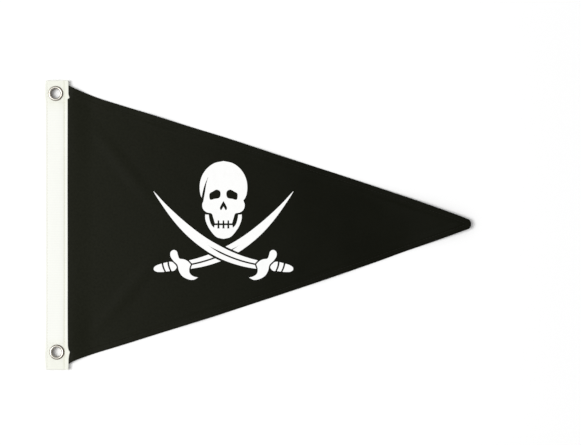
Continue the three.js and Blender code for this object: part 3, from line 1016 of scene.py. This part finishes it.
@dataclass(frozen=True)
class Fly:
    """The black pennant: one cloth with turned hems, its raw edge inside the heading."""

    raw_x: float = 19.0
    free_x: float = 27.0
    fall: float = 24.0
    cloth: float = 0.55
    hem: float = 1.45
    hem_width: float = 7.0
    hem_drop: float = 4.5  # the length over which the cloth comes down behind the hem
    hem_from: float = 24.0
    hem_fade: float = 6.0
    edge_round: float = 0.75
    edge_least: float = 0.1
    # The hems' seam, and how it draws the cloth in.
    seam_inset: float = 5.3
    seam_half: float = 0.6
    seam_sink: float = 0.3
    seam_sink_back: float = 0.2
    seam_swing: float = 0.25
    seam_from: float = 1.5  # the seam starts this far inside the heading's edge
    stitch_pitch: float = 3.4
    stitch_length: float = 2.8
    stitch_radius: float = 0.18
    # The cloth's waves.
    mean_ripple: float = 0.28
    least_ripple: float = 0.02
    ripples: tuple[Ripple, ...] = (Ripple(0.34, 46.0, 3.1), Ripple(0.14, 17.0, 8.4))
    gathers: Ripple = Ripple(0.35, 7.0, 5.2, run=(0.3, 1.0))
    gather_start: float = 5.0
    gather_length: float = 14.0
    hem_wave: Ripple = Ripple(0.16, 9.0, 1.7)
    hem_wave_fade: float = 6.0
    hem_wave_least: float = -0.15
    # The mesh's points: lines along the edges, and an even grid of triangles between them.
    line_step: float = 0.9
    grid: float = 2.6
    grid_row: float = 0.87  # the distance of its rows as a share of its step
    grid_start: float = 1.3
    grid_clear: float = 1.2
    hem_lines: tuple[float, ...] = (
        0.06, 0.22, 0.5, 1.1, 2.4, 3.8, 4.6, 5.0, 5.3, 5.6, 6.2, 6.95, 7.1, 8.2, 9.6, 11.4,
    )
    raw_clear: float = 0.3
    emblem: Emblem = field(default_factory=Emblem)

    def tip_x(self, y: float) -> float:
        """Give the x of the blunt end, which bulges a little in its middle."""
        high, low = TOP_EDGE.y_at(TOP_EDGE.tip_x), BOTTOM_EDGE.y_at(TOP_EDGE.tip_x)
        across = (2 * y - high - low) / (high - low)
        return TOP_EDGE.tip_x + TIP_BULGE * max(0.0, 1 - across * across)

    def insets(self, x: float, y: float) -> tuple[float, float, float]:
        """Measure how far a place is inside the top edge, the bottom edge and the tip."""
        top = (TOP_EDGE.y_at(x) - y) * abs(TOP_EDGE.inward(x).y)
        bottom = (y - BOTTOM_EDGE.y_at(x)) * abs(BOTTOM_EDGE.inward(x).y)
        return top, bottom, self.tip_x(y) - x

    def edge_points(self, inset: float) -> list[list[Point]]:
        """Follow the three hemmed edges at one distance inside them.

        Args:
            inset: the distance.

        Returns:
            The points of each line, without those that lie nearer to another edge.
        """
        lines: list[list[Point]] = []
        for number, edge in enumerate((TOP_EDGE, BOTTOM_EDGE)):
            line = []
            for x in spaced(self.raw_x, edge.tip_x, self.line_step):
                point = Vector((x, edge.y_at(x))) + edge.inward(x) * inset
                others = self.insets(*point)
                nearest = min(others[1 - number], others[2])
                if nearest > inset - SLIVER and point.x > self.raw_x - SLIVER / 2:
                    line.append((point.x, point.y))
            lines.append(line)
        high, low = TOP_EDGE.y_at(TOP_EDGE.tip_x), BOTTOM_EDGE.y_at(TOP_EDGE.tip_x)
        tip = [(self.tip_x(y) - inset, y) for y in spaced(high, low, self.line_step)]
        lines.append([p for p in tip if min(self.insets(*p)[:2]) > inset - SLIVER])
        return lines

    def cell(self, x: float, y: float) -> tuple[int, int]:
        """Number the square of the grid that a point is in."""
        return round(x / self.grid), round(y / self.grid)

    def cut(self) -> FlatCut:
        """Lay out the flat pattern piece with its print."""
        top, bottom, tip = self.edge_points(0.0)
        raw_y = spaced(BOTTOM_EDGE.y_at(self.raw_x), TOP_EDGE.y_at(self.raw_x), self.grid)
        raw = [(self.raw_x, y) for y in raw_y]
        outline = as_loop(top + tip + bottom[::-1] + raw[1:-1])
        inner = [p for inset in self.hem_lines for line in self.edge_points(inset) for p in line]
        inner = [p for p in inner if p[0] > self.raw_x + self.raw_clear]
        painted = self.emblem.layers()
        near = {self.cell(x, y) for loop, _ in painted for x, y in loop}
        deepest = self.hem_lines[-1] + self.grid_clear
        columns = spaced(self.raw_x + self.grid_start, TOP_EDGE.tip_x, self.grid * self.grid_row)
        most = math.ceil(HOIST_HEIGHT / 2 / self.grid)
        for number, x in enumerate(columns):
            shift = self.grid / 2 if number % 2 else 0.0
            for step in range(-most, most + 1):
                y = step * self.grid + shift
                if self.cell(x, y) not in near and min(self.insets(x, y)) > deepest:
                    inner.append((x, y))
        return FlatCut(outline, inner, painted=painted)

    def rest_height(self, x: float, y: float) -> float:
        """Give the height of the cloth's underside, without its hem."""
        held = MIDDLE_HEIGHT - self.cloth / 2 + heading_lift(y)
        past = x - self.free_x
        free = smooth(past / self.fall)
        lifted = sum(ridge.height(x, y) for ridge in RIDGES)
        ripple = sum((wave.at(x, y) for wave in self.ripples), self.mean_ripple)
        resting = lifted + max(self.least_ripple, ripple)
        gathers = math.exp(-max(0.0, past) / self.gather_length) * self.gathers.at(x, y)
        return held * (1 - free) + resting * free + gathers * smooth(past / self.gather_start)

    def position(self, side: Side, x: float, y: float) -> Vector:
        """Give the place of a flat point on the cloth's face or back.

        Args:
            side: the face that is wanted.
            x: the flat point's x.
            y: the flat point's y.

        Returns:
            The place in the model's frame.
        """
        inset = max(0.0, min(self.insets(x, y)))
        share = smooth((x - self.hem_from) / self.hem_fade)
        past = inset - self.hem_width
        hang = (self.hem - self.cloth) * share * (1 - smooth(past / self.hem_drop))
        top = self.cloth + hang
        under = 0.0 if past < SLIVER else hang
        if inset < self.edge_round:
            middle = top / 2
            half = middle * rounded(inset, self.edge_round, self.edge_least)
            top, under = middle + half, middle - half
        pull = bump_at(inset - self.seam_inset, self.seam_half) * share
        pull *= pull_at(x, self.stitch_pitch, self.seam_swing)
        top -= self.seam_sink * pull
        under += self.seam_sink_back * pull
        wave = self.hem_wave.at(x, y) * share * (1 - smooth(past / self.hem_wave_fade))
        base = self.rest_height(x, y) + max(wave, self.hem_wave_least)
        rise = top if side is Side.FACE else under
        return place(x, y, max(0.0, base + rise))

    def seam(self) -> list[list[Point]]:
        """Follow the hems' stitching along both long edges and across the tip."""
        top, bottom, tip = self.edge_points(self.seam_inset)
        start = self.free_x - self.seam_from
        rows = [[p for p in line if p[0] > start] for line in (top, bottom)]
        return [*rows, tip]

    def build(self, materials: Sequence[Material]) -> Object:
        """Make the fly's object."""
        return add_object("fly_cloth", closed_sheet(self.cut(), self.position), materials)


# The heading.


@dataclass(frozen=True)
class Grommet:
    """One metal grommet: an eyelet with a domed flange, and the washer behind the canvas."""

    name: str
    x: float
    y: float
    rim_wear_and_shade: float = 1.0  # how much more the rim is worn and painted in shade than the table below says
    barrel_wear_and_shade: float = 1.0
    steps: int = 96
    hole: float = 5.6  # the hole in the canvas
    eyelet_outline: Table = (
        (5.45, 1.75), (7.3, 1.8), (7.68, 1.9), (7.9, 2.2), (7.9, 2.6), (7.72, 3.0),
        (7.38, 3.38), (6.95, 3.62), (6.5, 3.7), (6.05, 3.66), (5.55, 3.46), (5.2, 3.08),
        (5.03, 2.6), (5.0, 2.0), (5.0, -2.3), (5.08, -2.75), (5.35, -3.12), (5.8, -3.34),
        (6.25, -3.36), (6.62, -3.22), (6.82, -2.98), (6.75, -2.76), (6.3, -2.72),
        (5.75, -2.7), (5.45, -2.4),
    )
    washer_outline: Table = (
        (5.6, -1.8), (5.6, -2.62), (7.2, -2.64), (7.4, -2.9), (7.65, -3.0), (7.95, -2.9),
        (8.12, -2.6), (8.2, -2.1), (8.1, -1.8),
    )
    # How much brown is painted at each radius, for worn plate and painted shade. The rim's side
    # towards the fly and the barrel's side towards the fold, turned from the light, get more shade.
    wear_and_shade: Table = (
        (5.0, 0.5), (5.1, 0.3), (5.4, 0.0), (6.6, 0.0), (6.95, 0.15), (7.35, 0.4),
        (7.7, 0.6), (7.88, 0.75),
    )
    # Painted shade: how much more brown the side turned from the light gets.
    shade_side_share: float = 0.8
    crest: float = 6.5  # the radius between the barrel and the rim

    @property
    def height(self) -> float:
        """Give the height of the middle of the cloth at the grommet."""
        return MIDDLE_HEIGHT + heading_lift(self.y)

    def paint_wear_and_shade(self, bm: BMesh) -> None:
        """Mark worn plate and painted shade at each point of a ring."""
        wear_and_shade = bm.verts.layers.float.new(WEAR_AND_SHADE)
        axis = place(self.x, self.y, 0.0).xy
        for vert in bm.verts:
            away = (vert.co.xy - axis) / MM
            radius = away.length
            on_rim = radius > self.crest
            towards_shade = away.x / radius if on_rim else -away.x / radius
            wear_and_shade_share = (self.rim_wear_and_shade if on_rim else self.barrel_wear_and_shade) * table_at(self.wear_and_shade, radius)
            # Painted shade: more brown on the side of the rim or barrel turned from the light.
            vert[wear_and_shade] = min(1.0, wear_and_shade_share * (1 + self.shade_side_share * towards_shade))

    def turned(self, outline: Sequence[Point]) -> BMesh:
        """Turn a closed outline about the grommet's axis.

        Args:
            outline: its [radius, height] points, with heights from the middle of the cloth.

        Returns:
            The closed ring.
        """
        bm = bmesh.new()
        verts = [bm.verts.new(place(self.x + r, self.y, self.height + z)) for r, z in outline]
        edges = [bm.edges.new((verts[i - 1], verts[i])) for i in range(len(verts))]
        bmesh.ops.spin(
            bm,
            geom=[*verts, *edges],
            cent=place(self.x, self.y, 0.0),
            axis=(0.0, 0.0, 1.0),
            angle=2 * math.pi,
            steps=self.steps,
            use_merge=True,
        )
        bmesh.ops.remove_doubles(bm, verts=bm.verts, dist=1e-7)
        bmesh.ops.recalc_face_normals(bm, faces=bm.faces)
        self.paint_wear_and_shade(bm)
        return bm

    def build(self, material: Material) -> list[Object]:
        """Make the eyelet and the washer."""
        made = []
        for kind, outline in (("eyelet", self.eyelet_outline), ("washer", self.washer_outline)):
            obj = add_object(f"{kind}_{self.name}_plated", self.turned(outline), [material])
            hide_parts(f"{kind}_{self.name}")
            made.append(obj)
        return made


GROMMETS = (
    Grommet("top", 11.1, 138.7),
    # The bottom grommet gets more worn plate and painted shade on its rim, less in its barrel.
    Grommet("bottom", 12.4, -133.9, rim_wear_and_shade=1.9, barrel_wear_and_shade=0.5),
)


@dataclass(frozen=True)
class Heading:
    """The canvas strip, folded over the hoist edge of the fly, with turned ends and edges."""

    canvas: float = 0.85
    depth: float = 1.25  # from the middle of the cloth to the middle of one canvas layer
    end_extra: float = 0.25
    end_rise: float = 0.22
    end_fade: float = 1.2
    top_end_y: float = 131.0  # the ends are turned in as far as this
    bottom_end_y: float = -122.5
    # The long edge is turned in behind the seam, which draws the two layers together.
    turn_in: float = 4.5
    turn_fade: float = 4.0
    turn_extra: float = 0.22
    pinch: float = 0.4
    end_stiffness: float = 0.6
    # The seams, and how each draws the canvas in.
    seam_x: float = 20.4
    fold_seam_x: float = 2.4
    end_seams: tuple[float, ...] = (129.0, -124.5)
    seam_half: float = 0.6
    fold_seam_half: float = 0.5
    fold_seam_share: float = 0.45
    end_seam_share: float = 0.8
    end_seam_from: float = 1.5
    end_seam_fade: float = 2.0
    end_seam_span: Point = (3.6, 19.6)  # where its stitches start and end
    seam_sink: float = 0.3
    seam_swing: float = 0.3
    seam_clear: float = 2.0  # how far the long seams stop inside the heading's ends
    stitch_pitch: float = 3.2
    stitch_length: float = 2.7
    # The canvas's waves, its crown between the seams, and its wrinkles under the grommets.
    waves: tuple[Ripple, ...] = (Ripple(0.16, 15.0, 2.2, run=(1.0, 0.6)), Ripple(0.05, 5.0, 7.7))
    crown: float = 0.12
    crown_width: float = 18.0
    fold_fade: float = 2.0
    wrinkle: float = 0.13
    wrinkles: int = 9
    wrinkle_rise: Point = (6.5, 2.5)  # from this radius, over this length
    wrinkle_fall: Point = (9.5, 5.5)
    step: float = 1.1
    hole_points: int = 48
    hole_clear: float = 0.35
    fold_steps: int = 6
    lefts: Table = (
        (-152.5, 0.4), (-141.5, 0.1), (-137.5, 0.0), (-133.6, 0.0), (-133.0, 0.3),
        (-118.0, 0.4), (-80.0, 0.5), (0.0, 0.5), (48.0, 0.4), (118.0, 0.4), (133.9, 0.3),
        (134.5, 0.0), (138.0, 0.0), (148.0, 0.2), (152.5, 0.4),
    )
    rights: Table = (
        (-152.5, 24.6), (-141.5, 24.8), (-137.5, 25.3), (-134.8, 26.0), (-133.8, 26.2),
        (-132.9, 25.8), (-131.9, 25.0), (-130.4, 24.5), (-127.0, 24.1), (-118.0, 23.9),
        (-80.0, 23.7), (0.0, 23.6), (48.0, 23.5), (118.0, 23.8), (132.6, 23.8),
        (133.1, 24.3), (133.6, 25.2), (134.2, 25.8), (135.0, 25.6), (138.0, 24.7),
        (148.0, 24.6), (152.5, 24.4),
    )
    edge_lines: tuple[float, ...] = (
        0.07, 0.2, 0.45, 0.9, 1.6, 2.3, 2.8, 3.1, 3.4, 3.7, 4.1, 4.8, 5.8, 7.0,
    )
    end_lines: int = 5  # how many of these lines also run along the strip's ends
    end_clear: float = 2.2
    middle_step: float = 1.5
    edge_round: float = 0.5
    edge_least: float = 0.12

    @property
    def quarter(self) -> float:
        """Give the length of a quarter turn of the fold's middle layer."""
        return math.pi / 2 * self.depth

    def fold_centre(self, y: float) -> float:
        """Give the x of the fold's centre line."""
        return table_at(self.lefts, y) + self.canvas / 2 + self.depth

    def reach(self, y: float) -> float:
        """Give the flat distance from the fold's ridge to the sewn edge."""
        return self.quarter + table_at(self.rights, y) - self.fold_centre(y)

    def flat_at(self, x: float, y: float) -> float:
        """Give the flat distance from the fold's ridge for a place in x."""
        return self.quarter + x - self.fold_centre(y)

    def holes(self) -> list[Loop]:
        """Lay out the four holes of the two grommets."""
        holes = []
        for grommet in GROMMETS:
            for layer in (1, -1):
                loop = []
                for i in range(self.hole_points):
                    angle = i * 2 * math.pi / self.hole_points
                    x = grommet.x + grommet.hole * math.cos(angle)
                    y = grommet.y + grommet.hole * math.sin(angle)
                    loop.append((layer * self.flat_at(x, y), y))
                holes.append(as_loop(loop))
        return holes

    def cut(self) -> FlatCut:
        """Lay out the unfolded strip with its holes."""
        half = HOIST_HEIGHT / 2
        marks = [y for y, _ in self.rights]
        ys = [y for a, b in zip(marks, marks[1:]) for y in spaced(a, b, self.step)[:-1]] + [half]
        right = [(self.reach(y), y) for y in ys]
        bottom = [(u, -half) for u in spaced(-self.reach(-half), self.reach(-half), self.step)]
        top = [(u, half) for u in spaced(self.reach(half), -self.reach(half), self.step)]
        outline = as_loop(bottom + right + top + [(-u, y) for u, y in reversed(right)])
        inner = []
        fold_lines = [self.quarter * i / self.fold_steps for i in range(self.fold_steps + 1)]
        near_end = [half - d for d in self.edge_lines[: self.end_lines]]
        rows = [y for y in ys if abs(y) < half - self.end_clear]
        for y in rows + [-row for row in near_end] + near_end:
            reach = self.reach(y)
            lines = fold_lines + [reach - d for d in self.edge_lines]
            lines += spaced(self.quarter, reach - self.edge_lines[-1], self.middle_step)[1:-1]
            inner += [(layer * u, y) for u in lines for layer in ((1, -1) if u else (1,))]
        return FlatCut(outline, [p for p in inner if self.clear_of_holes(*p)], self.holes())

    def clear_of_holes(self, u: float, y: float) -> bool:
        """Say whether a flat point is clear of the grommets' holes."""
        x = abs(u) - self.quarter + self.fold_centre(y)
        clear = self.hole_clear
        return all(math.hypot(x - g.x, y - g.y) > g.hole + clear for g in GROMMETS)

    def end_share(self, y: float) -> float:
        """Give 1 on the turned ends and 0 between them."""
        above, below = y - self.top_end_y, self.bottom_end_y - y
        return smooth(above / self.end_fade) + smooth(below / self.end_fade)

    def seams_at(self, x: float, y: float) -> float:
        """Give how hard the seams pull the canvas in at a place, up to 1."""
        long_seams = bump_at(x - self.seam_x, self.seam_half)
        long_seams += self.fold_seam_share * bump_at(x - self.fold_seam_x, self.fold_seam_half)
        pull = long_seams * pull_at(y, self.stitch_pitch, self.seam_swing)
        # The end seams run from just inside the fold to the long seam.
        inside = smooth((x - self.end_seam_from) / self.end_seam_fade)
        inside *= smooth((self.seam_x + self.seam_half - x) / (2 * self.seam_half))
        ends = sum(bump_at(y - seam, self.seam_half) for seam in self.end_seams)
        across = inside * pull_at(x, self.stitch_pitch, self.seam_swing)
        return min(1.0, pull + self.end_seam_share * ends * across)

    def puckers(self, x: float, y: float) -> float:
        """Give the small wrinkles that run out from under the grommets."""
        (rise_from, rise), (fall_from, fall) = self.wrinkle_rise, self.wrinkle_fall
        height = 0.0
        for grommet in GROMMETS:
            away = math.hypot(x - grommet.x, y - grommet.y)
            angle = math.atan2(y - grommet.y, x - grommet.x)
            fade = smooth((away - rise_from) / rise) * (1 - smooth((away - fall_from) / fall))
            uneven = self.wrinkles * angle + 2 * math.sin(2 * angle)
            height += self.wrinkle * fade * math.cos(uneven)
        return height

    def position(self, side: Side, u: float, y: float) -> Vector:
        """Give the place of a flat point on the canvas's outer or inner face.

        Args:
            side: FACE for the outer face and BACK for the inner one.
            u: the flat distance from the fold's ridge, below 0 on the back layer.
            y: the flat point's y.

        Returns:
            The place in the model's frame.
        """
        layer = 1 if u >= 0 else -1
        ends = self.end_share(y)
        past = abs(u) - self.quarter
        angle = min(1.0, abs(u) / self.quarter) * math.pi / 2
        x = self.fold_centre(y) + (past if past > 0 else -self.depth * math.cos(angle))
        drawn = smooth((x - (self.seam_x - self.turn_in)) / self.turn_fade)
        edge = min(self.reach(y) - abs(u), HOIST_HEIGHT / 2 - abs(y))
        thick = self.canvas + self.end_extra * ends + self.turn_extra * drawn
        thick *= rounded(edge, self.edge_round, self.edge_least)
        middle = self.depth - self.pinch * drawn * (1 - self.end_stiffness * ends)
        if layer > 0:
            middle += self.end_rise * ends
        flat = smooth(past / self.fold_fade)
        wave = sum(wave.at(x, y, layer) for wave in self.waves)
        crown = self.crown * math.sin(math.pi * min(1.0, max(0.0, past / self.crown_width)))
        middle += flat * (wave + crown + self.puckers(x, y))
        out = thick / 2 * side.value
        if side is Side.FACE:
            out -= self.seam_sink * self.seams_at(x, y) * flat
        height = (middle + out) * math.sin(angle)
        if past < 0:
            x -= out * math.cos(angle)
        return place(x, y, max(0.0, MIDDLE_HEIGHT + heading_lift(y) + layer * height))

    def outer(self, layer: int, x: float, y: float) -> Vector:
        """Give a place on the outer face of the front layer (1) or the back layer (-1)."""
        return self.position(Side.FACE, layer * self.flat_at(x, y), y)

    def build(self, material: Material) -> Object:
        """Make the heading's object."""
        return add_object("heading_canvas", closed_sheet(self.cut(), self.position), [material])


# The sewing.


@dataclass(frozen=True)
class Stitching:
    """Rows of lockstitch, each stitch a short thread that dives into the cloth at both ends."""

    pitch: float
    length: float
    radius: float = 0.2
    first: float = 0.4
    wobble: float = 0.05  # the most that a stitch is turned out of its line, in radians
    seed: int = 5

    def along(self, line: Sequence[Point]) -> list[tuple[Point, Point]]:
        """Divide a line into stitches.

        Args:
            line: points along the line.

        Returns:
            The two ends of each stitch.
        """
        dense = [Vector(p) for p in line]
        travelled = [0.0]
        for a, b in zip(dense, dense[1:]):
            travelled.append(travelled[-1] + (b - a).length)

        def at(distance: float) -> Point:
            """Find the point at a distance along the line."""
            i = next((k for k, d in enumerate(travelled) if d >= distance), len(dense) - 1)
            i = max(1, i)
            span = travelled[i] - travelled[i - 1]
            return tuple(dense[i - 1].lerp(dense[i], (distance - travelled[i - 1]) / span))

        count = int((travelled[-1] - self.length) // self.pitch)
        starts = [self.first + i * self.pitch for i in range(count + 1)]
        return [(at(s), at(min(travelled[-1], s + self.length))) for s in starts]

    def sew(self, bm: BMesh, line: Sequence[Point], surface: Surface) -> None:
        """Add a row of stitches to a mesh.

        Args:
            bm: the mesh.
            line: the seam, in the flag's own frame.
            surface: gives the place on the cloth's surface for a flat point.
        """
        draw = random.Random(self.seed)
        radius = self.radius * MM
        bead = bmesh.new()
        bmesh.ops.create_uvsphere(bead, u_segments=6, v_segments=5, radius=1.0)
        for start, end in self.along(line):
            a, b = surface(*start), surface(*end)
            middle = surface((start[0] + end[0]) / 2, (start[1] + end[1]) / 2)
            run = b - a
            turn = run.to_track_quat("X", "Z").to_matrix().to_4x4()
            wobble = Matrix.Rotation(draw.uniform(-self.wobble, self.wobble), 4, "Z")
            size = Matrix.Diagonal((run.length / 2, radius, radius, 1.0))
            centre = (a + b + middle * 2) / 4
            centre.z = max(centre.z, radius)
            matrix = Matrix.Translation(centre) @ wobble @ turn @ size
            verts = [bm.verts.new(matrix @ vert.co) for vert in bead.verts]
            for face in bead.faces:
                bm.faces.new([verts[vert.index] for vert in face.verts])
        bead.free()


Row = tuple[Stitching, Sequence[Point], Surface]


def sewn(name: str, rows: Iterable[Row], material: Material) -> Object:
    """Make one object of all rows of stitches in one thread.

    Args:
        name: the piece's name.
        rows: each row's stitching, its line and the surface that it lies on.
        material: the thread's material.

    Returns:
        The object.
    """
    bm = bmesh.new()
    for stitching, line, surface in rows:
        stitching.sew(bm, line, surface)
    return add_object(name, bm, [material])


def heading_rows(heading: Heading) -> list[Row]:
    """List the heading's rows of stitches on both of its layers."""
    end = HOIST_HEIGHT / 2 - heading.seam_clear
    stitching = Stitching(pitch=heading.stitch_pitch, length=heading.stitch_length)
    long_xs = (heading.seam_x, heading.fold_seam_x)
    lines = [[(x, y) for y in spaced(end, -end, 1.0)] for x in long_xs]
    lines += [[(x, y) for x in spaced(*heading.end_seam_span, 1.0)] for y in heading.end_seams]
    rows = []
    for layer in (1, -1):
        for line in lines:
            rows.append((stitching, line, lambda x, y, k=layer: heading.outer(k, x, y)))
    return rows


def hem_rows(fly: Fly) -> list[Row]:
    """List the hems' rows of stitches on both sides of the cloth."""
    stitching = Stitching(fly.stitch_pitch, fly.stitch_length, fly.stitch_radius)
    rows = []
    for side in Side:
        for line in fly.seam():
            rows.append((stitching, line, lambda x, y, s=side: fly.position(s, x, y)))
    return rows


# The studio.


@dataclass(frozen=True)
class SoftLight:
    """A square softbox that is aimed at the flag."""

    name: str
    place: tuple[float, float, float]
    size: float
    share: float  # the brightness that it gives white paper under it

    def build(self) -> None:
        """Make the light, with the power that gives its share."""
        spot = Vector(self.place)
        distance = spot.length
        data = bpy.data.lights.new(self.name, "AREA")
        data.shape = "SQUARE"
        data.size = self.size
        data.energy = self.share * math.pi**2 * distance**2 / (spot.z / distance)
        obj = bpy.data.objects.new(self.name, data)
        obj.location = spot
        obj.rotation_euler = (-spot).to_track_quat("-Z", "Y").to_euler()
        bpy.context.scene.collection.objects.link(obj)


@dataclass(frozen=True)
class Studio:
    """The pale floor, the soft lights and the camera straight above."""

    floor_size: float = 12.0
    floor_gap: float = 0.05 * MM  # keeps the floor from lying in one plane with the cloth
    centre_x: float = 0.0342  # the middle of the photograph, from the middle of the flag
    centre_y: float = 0.0027
    width: float = 0.6132  # what the photograph takes in from side to side
    lens: float = 135.0
    sensor: float = 36.0
    farthest: float = 50.0
    surface_height: float = 0.0025
    world: float = 0.465
    lights: tuple[SoftLight, ...] = (
        SoftLight("key_softbox", (-3.3, -0.1, 5.3), 2.6, 0.42),
        SoftLight("overhead_softbox", (-1.9, 0.0, 3.8), 3.4, 0.28),
    )

    def add_floor(self) -> None:
        """Make the floor."""
        bm = bmesh.new()
        bmesh.ops.create_grid(bm, x_segments=8, y_segments=8, size=self.floor_size / 2)
        bmesh.ops.translate(bm, verts=bm.verts, vec=(0.0, 0.0, -self.floor_gap))
        add_object("floor", bm, [PaperSweep().material()], soft=False)

    def add_world(self) -> None:
        """Light the scene evenly from all around."""
        world = bpy.data.worlds.new("studio_world")
        world.use_nodes = True
        background = world.node_tree.nodes["Background"]
        background.inputs["Color"].default_value = (1.0, 1.0, 1.0, 1.0)
        background.inputs["Strength"].default_value = self.world
        bpy.context.scene.world = world

    def add_camera(self) -> None:
        """Make the camera, which looks straight down."""
        data = bpy.data.cameras.new("camera")
        data.lens = self.lens
        data.sensor_width = self.sensor
        data.clip_end = self.farthest
        camera = bpy.data.objects.new("camera", data)
        height = self.surface_height + self.width * self.lens / self.sensor
        camera.location = (self.centre_x, self.centre_y, height)
        bpy.context.scene.collection.objects.link(camera)
        bpy.context.scene.camera = camera

    def build(self) -> None:
        """Make the floor, the lights, the world and the camera."""
        self.add_floor()
        for light in self.lights:
            light.build()
        self.add_world()
        bpy.context.scene.view_settings.view_transform = "Standard"
        self.add_camera()


def main() -> None:
    """Build the flag and the studio."""
    logging.basicConfig(level=logging.INFO, format="%(name)s: %(message)s")
    canvas, nickel = CottonCanvas().material(), NickelPlate().material()
    fly_materials = [
        DyedPolyester().material(),
        ScreenInk("white_screen_ink", "#f3f3f2", "#ededeb", 0.6).material(),
        ScreenInk("ink_seen_through_cloth", "#cfd0cb", "#b9bab4", 0.75).material(),
    ]
    white_thread = SewingThread("white_polyester_thread", "#ececdf", "#cfcfc2").material()
    black_thread = SewingThread("black_polyester_thread", "#24251f", "#12130e").material()

    studio = Studio()
    studio.build()

    fly = Fly()
    cloth = fly.build(fly_materials)
    heading = Heading()
    strip = heading.build(canvas)
    heading_thread = sewn("heading_stitches", heading_rows(heading), white_thread)
    hem_thread = sewn("hem_stitches", hem_rows(fly), black_thread)
    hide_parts("fly")
    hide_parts("heading")
    metal = [obj for grommet in GROMMETS for obj in grommet.build(nickel)]

    for obj in (cloth, strip, heading_thread, hem_thread, *metal):
        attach(obj, "root")


if __name__ == "__main__":
    main()
